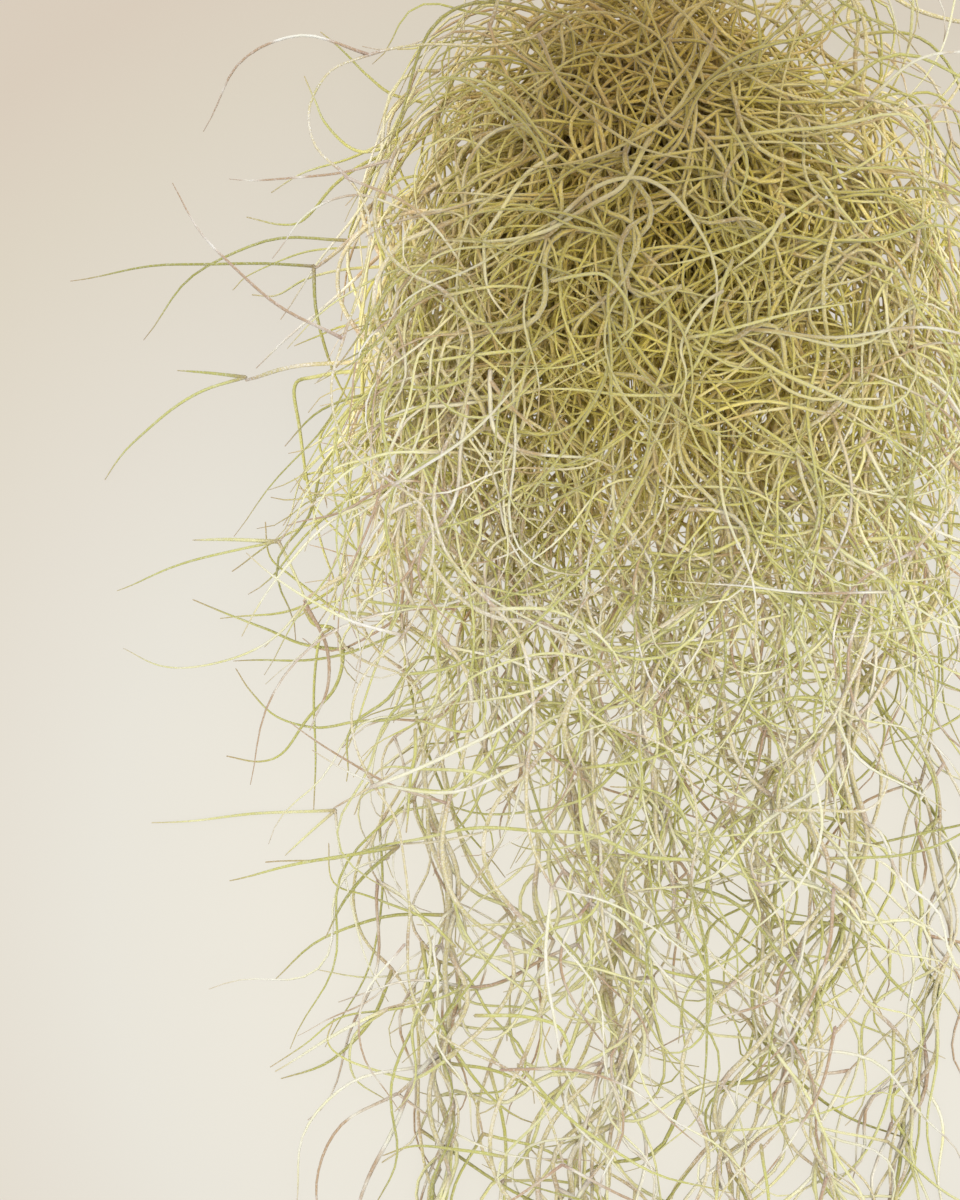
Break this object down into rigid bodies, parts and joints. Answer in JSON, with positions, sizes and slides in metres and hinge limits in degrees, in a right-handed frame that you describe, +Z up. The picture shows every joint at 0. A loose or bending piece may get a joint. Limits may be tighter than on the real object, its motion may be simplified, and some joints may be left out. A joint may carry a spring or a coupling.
{
  "type": "spanish moss",
  "caption": "Loose laid-down bunch of curly, thread-like moss stems with slender leaves, a dense domed head and a long trailing tail of wavy ropes.",
  "frame": {"origin": "on the surface it lies on, under the middle of its bounding box", "axes": "+Z up from the surface, +Y from the trailing tail to the dense head, X across the bunch"},
  "size_m": [0.242, 0.3822, 0.0562],
  "materials": {
    "moss_stem": "matt, covered in fine grey scales",
    "moss_head": "matt, dense and darker inside"
  },
  "bodies": {
    "root": {"side_sprig_01": "moss_stem", "side_sprig_02": "moss_stem", "side_sprig_03": "moss_stem", "side_sprig_04": "moss_stem", "side_sprig_05": "moss_stem", "side_sprig_06": "moss_stem", "inner_stem_01": "moss_stem", "inner_stem_02": "moss_stem", "inner_stem_03": "moss_stem", "inner_stem_04": "moss_stem", "inner_stem_05": "moss_stem", "inner_stem_06": "moss_stem", "inner_stem_07": "moss_stem", "inner_stem_08": "moss_stem", "head": "moss_head", "outer_stem_01": "moss_stem", "outer_stem_02": "moss_stem", "outer_stem_03": "moss_stem", "outer_stem_04": "moss_stem", "outer_stem_05": "moss_stem", "outer_stem_06": "moss_stem", "outer_stem_07": "moss_stem", "outer_stem_08": "moss_stem", "outer_stem_09": "moss_stem", "outer_stem_10": "moss_stem", "outer_stem_11": "moss_stem"}
  },
  "joints": []
}
